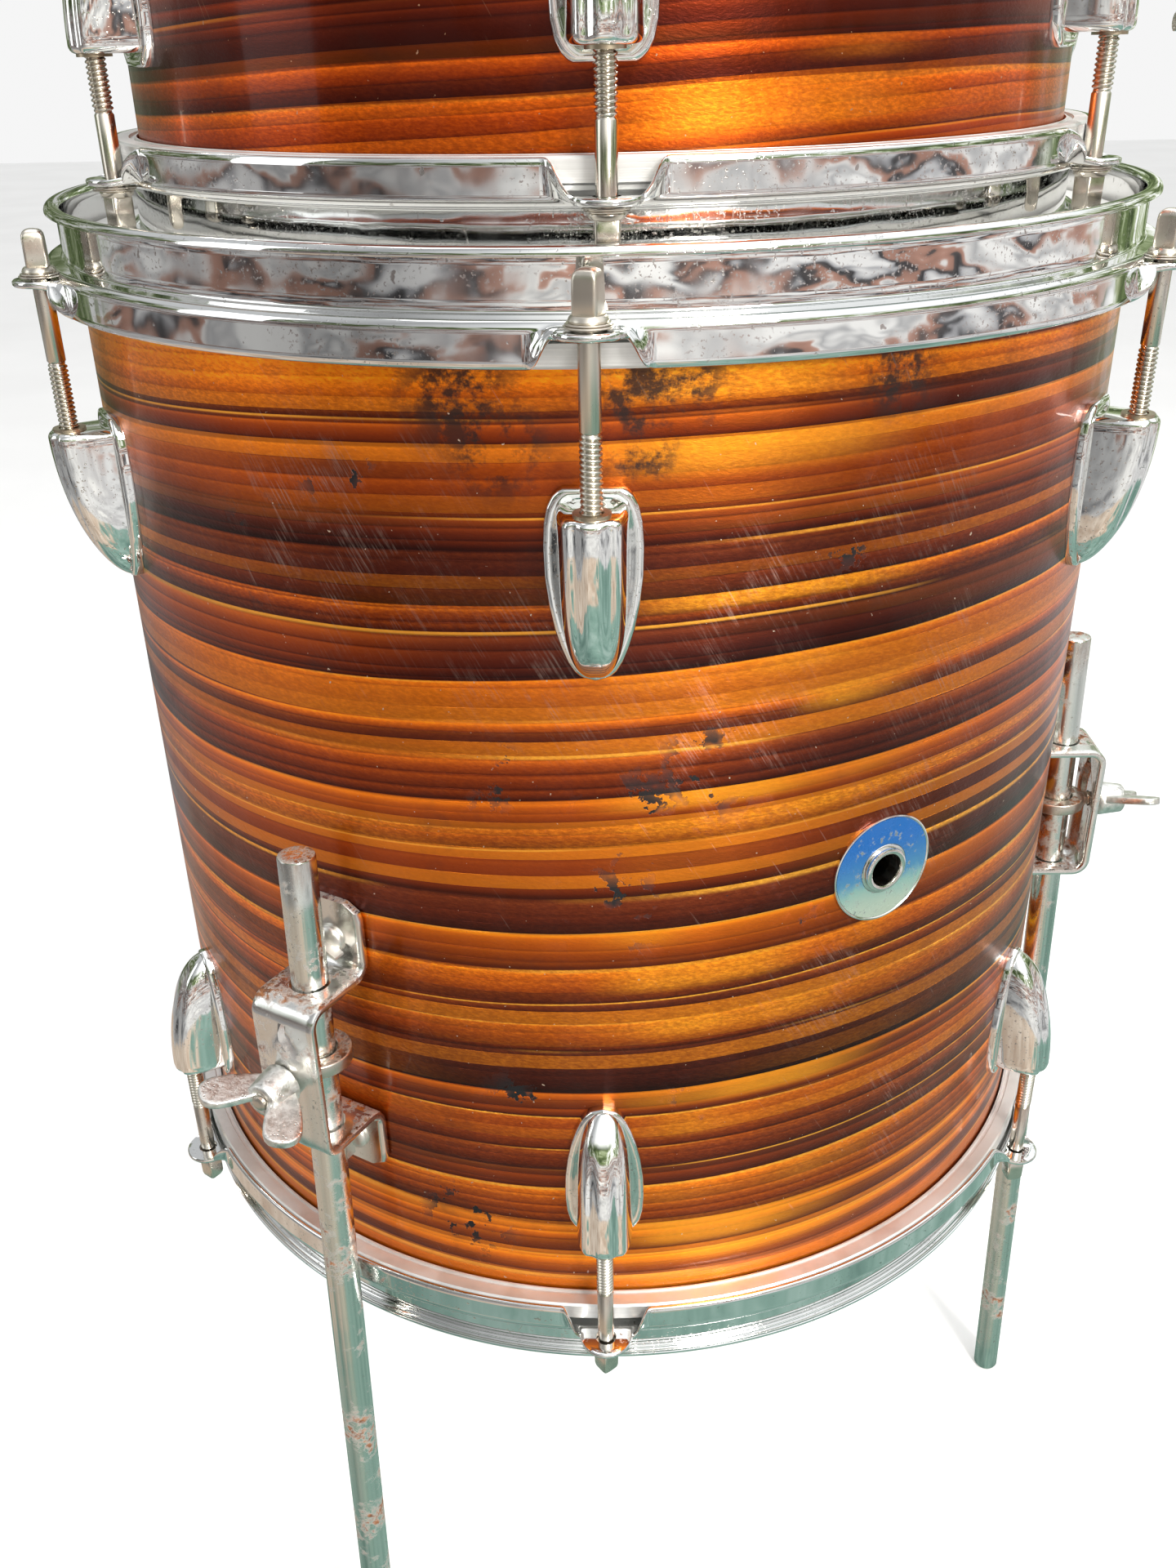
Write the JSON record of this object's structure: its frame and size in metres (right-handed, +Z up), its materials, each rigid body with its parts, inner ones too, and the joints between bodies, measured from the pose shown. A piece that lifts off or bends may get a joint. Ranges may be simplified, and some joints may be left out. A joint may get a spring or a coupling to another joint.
{
  "type": "timbales",
  "caption": "Two stacked cylindrical drums, a shallow tom standing on the head of a deeper one with sliding rod legs; hoops, lugs and tension rods tune the heads.",
  "frame": {"origin": "the drums' common axis at floor level, under the legs' feet", "axes": "+Z up; -Y is the front, with one lug of each drum almost facing it; +X to the player's view right"},
  "size_m": [0.4169, 0.4102, 0.8199],
  "materials": {
    "ply": "bare ply, satin inside",
    "wrap": "copper-brown satin-striped pearl plastic, scuffed",
    "head_film": "coated translucent white film",
    "flesh_hoop": "satin",
    "chrome": "bright plating with light pitting",
    "plated_steel": "dulled nickel plating",
    "bracket_steel": "bright plating with rust spots",
    "leg_steel": "dulled plating with rust spots",
    "cast_zinc": "rough cast, plated",
    "brass": "plain",
    "badge": "enamel on a bright rim"
  },
  "bodies": {
    "floor_tom": {"floor_tom_shell": "ply", "floor_tom_wrap": "wrap", "floor_tom_reinforcing_rings": "ply", "floor_tom_batter_head": "head_film", "floor_tom_batter_flesh_hoop": "flesh_hoop", "floor_tom_batter_hoop": "chrome", "floor_tom_resonant_head": "head_film", "floor_tom_resonant_flesh_hoop": "flesh_hoop", "floor_tom_resonant_hoop": "chrome", "floor_tom_lugs": "chrome", "floor_tom_lug_inserts": "brass", "floor_tom_screws": "plated_steel", "floor_tom_badge_and_vent": "badge", "leg_brackets": "bracket_steel", "eye_bolts": "plated_steel"},
    "small_tom": {"small_tom_shell": "ply", "small_tom_wrap": "wrap", "small_tom_reinforcing_rings": "ply", "small_tom_batter_head": "head_film", "small_tom_batter_flesh_hoop": "flesh_hoop", "small_tom_batter_hoop": "chrome", "small_tom_resonant_head": "head_film", "small_tom_resonant_flesh_hoop": "flesh_hoop", "small_tom_resonant_hoop": "chrome", "small_tom_lugs": "chrome", "small_tom_lug_inserts": "brass", "small_tom_screws": "plated_steel", "small_tom_vent_grommet": "chrome", "tom_holder_bracket": "chrome"},
    "leg_left": {"leg_left": "leg_steel"},
    "wing_nut_left": {"wing_nut_left": "cast_zinc"},
    "leg_right": {"leg_right": "leg_steel"},
    "wing_nut_right": {"wing_nut_right": "cast_zinc"},
    "leg_rear": {"leg_rear": "leg_steel"},
    "wing_nut_rear": {"wing_nut_rear": "cast_zinc"},
    "floor_tom_batter_rod_1": {"floor_tom_batter_rod_1": "plated_steel"},
    "floor_tom_batter_rod_2": {"floor_tom_batter_rod_2": "plated_steel"},
    "floor_tom_batter_rod_3": {"floor_tom_batter_rod_3": "plated_steel"},
    "floor_tom_batter_rod_4": {"floor_tom_batter_rod_4": "plated_steel"},
    "floor_tom_batter_rod_5": {"floor_tom_batter_rod_5": "plated_steel"},
    "floor_tom_batter_rod_6": {"floor_tom_batter_rod_6": "plated_steel"},
    "floor_tom_resonant_rod_1": {"floor_tom_resonant_rod_1": "plated_steel"},
    "floor_tom_resonant_rod_2": {"floor_tom_resonant_rod_2": "plated_steel"},
    "floor_tom_resonant_rod_3": {"floor_tom_resonant_rod_3": "plated_steel"},
    "floor_tom_resonant_rod_4": {"floor_tom_resonant_rod_4": "plated_steel"},
    "floor_tom_resonant_rod_5": {"floor_tom_resonant_rod_5": "plated_steel"},
    "floor_tom_resonant_rod_6": {"floor_tom_resonant_rod_6": "plated_steel"},
    "small_tom_batter_rod_1": {"small_tom_batter_rod_1": "plated_steel"},
    "small_tom_batter_rod_2": {"small_tom_batter_rod_2": "plated_steel"},
    "small_tom_batter_rod_3": {"small_tom_batter_rod_3": "plated_steel"},
    "small_tom_batter_rod_4": {"small_tom_batter_rod_4": "plated_steel"},
    "small_tom_batter_rod_5": {"small_tom_batter_rod_5": "plated_steel"},
    "small_tom_batter_rod_6": {"small_tom_batter_rod_6": "plated_steel"},
    "small_tom_resonant_rod_1": {"small_tom_resonant_rod_1": "plated_steel"},
    "small_tom_resonant_rod_2": {"small_tom_resonant_rod_2": "plated_steel"},
    "small_tom_resonant_rod_3": {"small_tom_resonant_rod_3": "plated_steel"},
    "small_tom_resonant_rod_4": {"small_tom_resonant_rod_4": "plated_steel"},
    "small_tom_resonant_rod_5": {"small_tom_resonant_rod_5": "plated_steel"},
    "small_tom_resonant_rod_6": {"small_tom_resonant_rod_6": "plated_steel"},
    "tom_holder_wing_bolt": {"tom_holder_wing_bolt": "cast_zinc"}
  },
  "joints": [
    {"name": "leg_left_height", "type": "slide", "parent": "floor_tom", "child": "leg_left", "axis": [0.015, 0.026, 0.9995], "range_m": [-0.03, 0.1]},
    {"name": "wing_nut_left_turn", "type": "hinge", "parent": "floor_tom", "child": "wing_nut_left", "pos_m": [-0.106, -0.1836, 0.354], "axis": [-0.5, -0.866, 0], "continuous": true},
    {"name": "leg_right_height", "type": "slide", "parent": "floor_tom", "child": "leg_right", "axis": [-0.03, 0, 0.9995], "range_m": [-0.03, 0.1]},
    {"name": "wing_nut_right_turn", "type": "hinge", "parent": "floor_tom", "child": "wing_nut_right", "pos_m": [0.212, 0, 0.354], "axis": [1, 0, 0], "continuous": true},
    {"name": "leg_rear_height", "type": "slide", "parent": "floor_tom", "child": "leg_rear", "axis": [0.015, -0.026, 0.9995], "range_m": [-0.03, 0.1]},
    {"name": "wing_nut_rear_turn", "type": "hinge", "parent": "floor_tom", "child": "wing_nut_rear", "pos_m": [-0.106, 0.1836, 0.354], "axis": [-0.5, 0.866, 0], "continuous": true},
    {"name": "small_tom_lift", "type": "slide", "parent": "floor_tom", "child": "small_tom", "axis": [0, 0, 1], "range_m": [0, 0.12]},
    {"name": "floor_tom_batter_rod_1_turn", "type": "hinge", "parent": "floor_tom", "child": "floor_tom_batter_rod_1", "pos_m": [-0.00301, -0.19143, 0.5936], "axis": [0, 0, 1], "continuous": true},
    {"name": "floor_tom_batter_rod_2_turn", "type": "hinge", "parent": "floor_tom", "child": "floor_tom_batter_rod_2", "pos_m": [0.16428, -0.09832, 0.5936], "axis": [0, 0, 1], "continuous": true},
    {"name": "floor_tom_batter_rod_3_turn", "type": "hinge", "parent": "floor_tom", "child": "floor_tom_batter_rod_3", "pos_m": [0.16728, 0.09311, 0.5936], "axis": [0, 0, 1], "continuous": true},
    {"name": "floor_tom_batter_rod_4_turn", "type": "hinge", "parent": "floor_tom", "child": "floor_tom_batter_rod_4", "pos_m": [0.00301, 0.19143, 0.5936], "axis": [0, 0, 1], "continuous": true},
    {"name": "floor_tom_batter_rod_5_turn", "type": "hinge", "parent": "floor_tom", "child": "floor_tom_batter_rod_5", "pos_m": [-0.16428, 0.09832, 0.5936], "axis": [0, 0, 1], "continuous": true},
    {"name": "floor_tom_batter_rod_6_turn", "type": "hinge", "parent": "floor_tom", "child": "floor_tom_batter_rod_6", "pos_m": [-0.16728, -0.09311, 0.5936], "axis": [0, 0, 1], "continuous": true},
    {"name": "floor_tom_resonant_rod_1_turn", "type": "hinge", "parent": "floor_tom", "child": "floor_tom_resonant_rod_1", "pos_m": [-0.00301, -0.19143, 0.238], "axis": [0, 0, 1], "continuous": true},
    {"name": "floor_tom_resonant_rod_2_turn", "type": "hinge", "parent": "floor_tom", "child": "floor_tom_resonant_rod_2", "pos_m": [0.16428, -0.09832, 0.238], "axis": [0, 0, 1], "continuous": true},
    {"name": "floor_tom_resonant_rod_3_turn", "type": "hinge", "parent": "floor_tom", "child": "floor_tom_resonant_rod_3", "pos_m": [0.16728, 0.09311, 0.238], "axis": [0, 0, 1], "continuous": true},
    {"name": "floor_tom_resonant_rod_4_turn", "type": "hinge", "parent": "floor_tom", "child": "floor_tom_resonant_rod_4", "pos_m": [0.00301, 0.19143, 0.238], "axis": [0, 0, 1], "continuous": true},
    {"name": "floor_tom_resonant_rod_5_turn", "type": "hinge", "parent": "floor_tom", "child": "floor_tom_resonant_rod_5", "pos_m": [-0.16428, 0.09832, 0.238], "axis": [0, 0, 1], "continuous": true},
    {"name": "floor_tom_resonant_rod_6_turn", "type": "hinge", "parent": "floor_tom", "child": "floor_tom_resonant_rod_6", "pos_m": [-0.16728, -0.09311, 0.238], "axis": [0, 0, 1], "continuous": true},
    {"name": "small_tom_batter_rod_1_turn", "type": "hinge", "parent": "small_tom", "child": "small_tom_batter_rod_1", "pos_m": [0.00174, -0.16604, 0.8087], "axis": [0, 0, 1], "continuous": true},
    {"name": "small_tom_batter_rod_2_turn", "type": "hinge", "parent": "small_tom", "child": "small_tom_batter_rod_2", "pos_m": [0.14466, -0.08152, 0.8087], "axis": [0, 0, 1], "continuous": true},
    {"name": "small_tom_batter_rod_3_turn", "type": "hinge", "parent": "small_tom", "child": "small_tom_batter_rod_3", "pos_m": [0.14293, 0.08453, 0.8087], "axis": [0, 0, 1], "continuous": true},
    {"name": "small_tom_batter_rod_4_turn", "type": "hinge", "parent": "small_tom", "child": "small_tom_batter_rod_4", "pos_m": [-0.00174, 0.16604, 0.8087], "axis": [0, 0, 1], "continuous": true},
    {"name": "small_tom_batter_rod_5_turn", "type": "hinge", "parent": "small_tom", "child": "small_tom_batter_rod_5", "pos_m": [-0.14466, 0.08152, 0.8087], "axis": [0, 0, 1], "continuous": true},
    {"name": "small_tom_batter_rod_6_turn", "type": "hinge", "parent": "small_tom", "child": "small_tom_batter_rod_6", "pos_m": [-0.14293, -0.08453, 0.8087], "axis": [0, 0, 1], "continuous": true},
    {"name": "small_tom_resonant_rod_1_turn", "type": "hinge", "parent": "small_tom", "child": "small_tom_resonant_rod_1", "pos_m": [0.00174, -0.16604, 0.6055], "axis": [0, 0, 1], "continuous": true},
    {"name": "small_tom_resonant_rod_2_turn", "type": "hinge", "parent": "small_tom", "child": "small_tom_resonant_rod_2", "pos_m": [0.14466, -0.08152, 0.6055], "axis": [0, 0, 1], "continuous": true},
    {"name": "small_tom_resonant_rod_3_turn", "type": "hinge", "parent": "small_tom", "child": "small_tom_resonant_rod_3", "pos_m": [0.14293, 0.08453, 0.6055], "axis": [0, 0, 1], "continuous": true},
    {"name": "small_tom_resonant_rod_4_turn", "type": "hinge", "parent": "small_tom", "child": "small_tom_resonant_rod_4", "pos_m": [-0.00174, 0.16604, 0.6055], "axis": [0, 0, 1], "continuous": true},
    {"name": "small_tom_resonant_rod_5_turn", "type": "hinge", "parent": "small_tom", "child": "small_tom_resonant_rod_5", "pos_m": [-0.14466, 0.08152, 0.6055], "axis": [0, 0, 1], "continuous": true},
    {"name": "small_tom_resonant_rod_6_turn", "type": "hinge", "parent": "small_tom", "child": "small_tom_resonant_rod_6", "pos_m": [-0.14293, -0.08453, 0.6055], "axis": [0, 0, 1], "continuous": true},
    {"name": "tom_holder_wing_bolt_turn", "type": "hinge", "parent": "small_tom", "child": "tom_holder_wing_bolt", "pos_m": [0.2, 0, 0.648], "axis": [1, 0, 0], "continuous": true}
  ]
}
